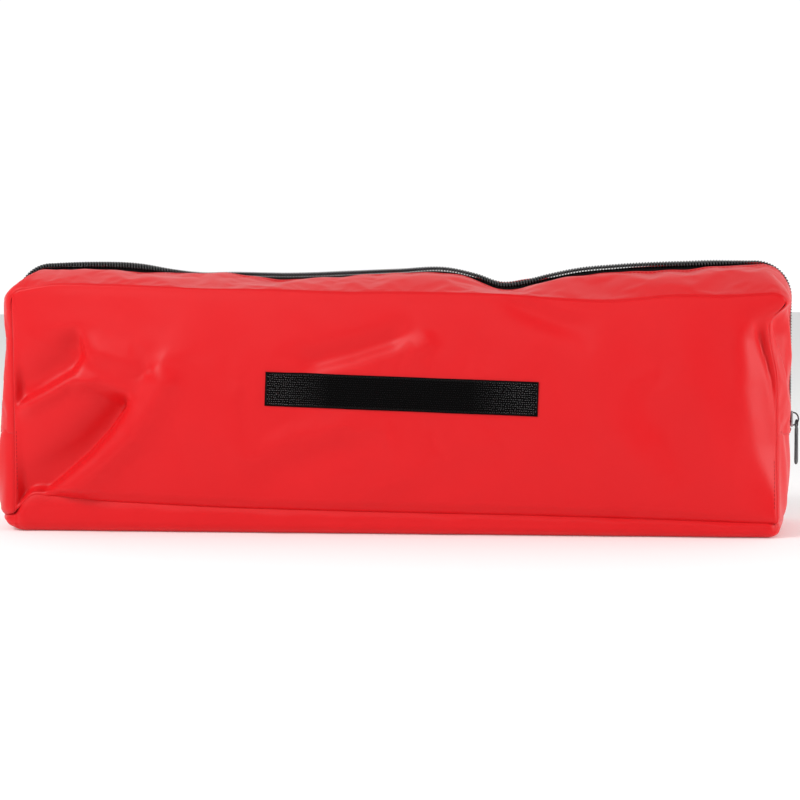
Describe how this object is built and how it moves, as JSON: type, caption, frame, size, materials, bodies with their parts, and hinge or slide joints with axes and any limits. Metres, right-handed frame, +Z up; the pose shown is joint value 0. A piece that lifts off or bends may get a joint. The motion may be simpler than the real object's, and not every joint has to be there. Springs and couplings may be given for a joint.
{
  "type": "fire blanket in zipped bag",
  "caption": "Long zipped bag of coated cloth with a hook strip on its front and a folded fire blanket with two pull tapes inside.",
  "frame": {"origin": "centre of the flat base, on the surface that the bag stands on", "axes": "+X along the bag to the end with the zip's slider, +Z up; the front with the hook strip faces -Y"},
  "size_m": [0.6, 0.1303, 0.1988],
  "materials": {
    "red_cloth": "satin coated nylon",
    "zip_tape": "woven tape",
    "zip_coil": "moulded monofilament coil",
    "hook_strip": "hook side of hook-and-loop tape",
    "slider_metal": "grey plated die casting",
    "bridge_metal": "black painted wire",
    "tab_metal": "gunmetal plating",
    "wool": "felted wool",
    "webbing": "woven webbing"
  },
  "bodies": {
    "root": {"base_panel": "red_cloth", "front_panel_lower": "red_cloth", "back_panel_lower": "red_cloth", "left_end_panel": "red_cloth", "right_end_panel": "red_cloth", "zip_end_left": "zip_tape", "zip_end_right": "zip_tape", "zip_stop_left": "zip_coil", "zip_stop_right": "zip_coil"},
    "front_flap": {"front_panel_upper": "red_cloth", "gusset_front": "red_cloth", "zip_tape_front": "zip_tape", "zip_coil_front": "zip_coil", "hook_strip": "hook_strip"},
    "back_flap": {"back_panel_upper": "red_cloth", "gusset_back": "red_cloth", "zip_tape_back": "zip_tape", "zip_coil_back": "zip_coil"},
    "slider": {"slider_body": "slider_metal", "slider_bridge": "bridge_metal"},
    "tab": {"puller_tab": "tab_metal"},
    "blanket": {"blanket_pack": "wool"},
    "left_pull_tape": {"pull_tape_left": "webbing"},
    "right_pull_tape": {"pull_tape_right": "webbing"}
  },
  "joints": [
    {"name": "mouth_front", "type": "hinge", "parent": "root", "child": "front_flap", "pos_m": [0, -0.064, 0.078], "axis": [1, 0, 0], "range_deg": [0, 70]},
    {"name": "mouth_back", "type": "hinge", "parent": "root", "child": "back_flap", "pos_m": [0, 0.064, 0.078], "axis": [-1, 0, 0], "range_deg": [0, 70]},
    {"name": "blanket_lift", "type": "slide", "parent": "root", "child": "blanket", "axis": [0, 0, 1], "range_m": [0, 0.141]},
    {"name": "pull_tape_left_lift", "type": "hinge", "parent": "blanket", "child": "left_pull_tape", "pos_m": [-0.09, 0, 0.1516], "axis": [0, 1, 0], "range_deg": [0, 91]},
    {"name": "pull_tape_right_lift", "type": "hinge", "parent": "blanket", "child": "right_pull_tape", "pos_m": [0.09, 0, 0.1516], "axis": [0, -1, 0], "range_deg": [0, 91]},
    {"name": "slider_travel", "type": "slide", "parent": "root", "child": "slider", "axis": [0, 0, 1], "range_m": [0, 0.08]},
    {"name": "tab_swing", "type": "hinge", "parent": "slider", "child": "tab", "pos_m": [0.30132, 0, 0.07898], "axis": [0, -1, 0], "range_deg": [0, 80]}
  ],
  "couplings": [
    {"joint": "mouth_back", "follows": "mouth_front", "ratio": 1},
    {"joint": "blanket_lift", "follows": "mouth_front", "m_per_rad": 0.115},
    {"joint": "pull_tape_left_lift", "follows": "mouth_front", "ratio": 1.2857},
    {"joint": "pull_tape_right_lift", "follows": "mouth_front", "ratio": 1.2857}
  ]
}
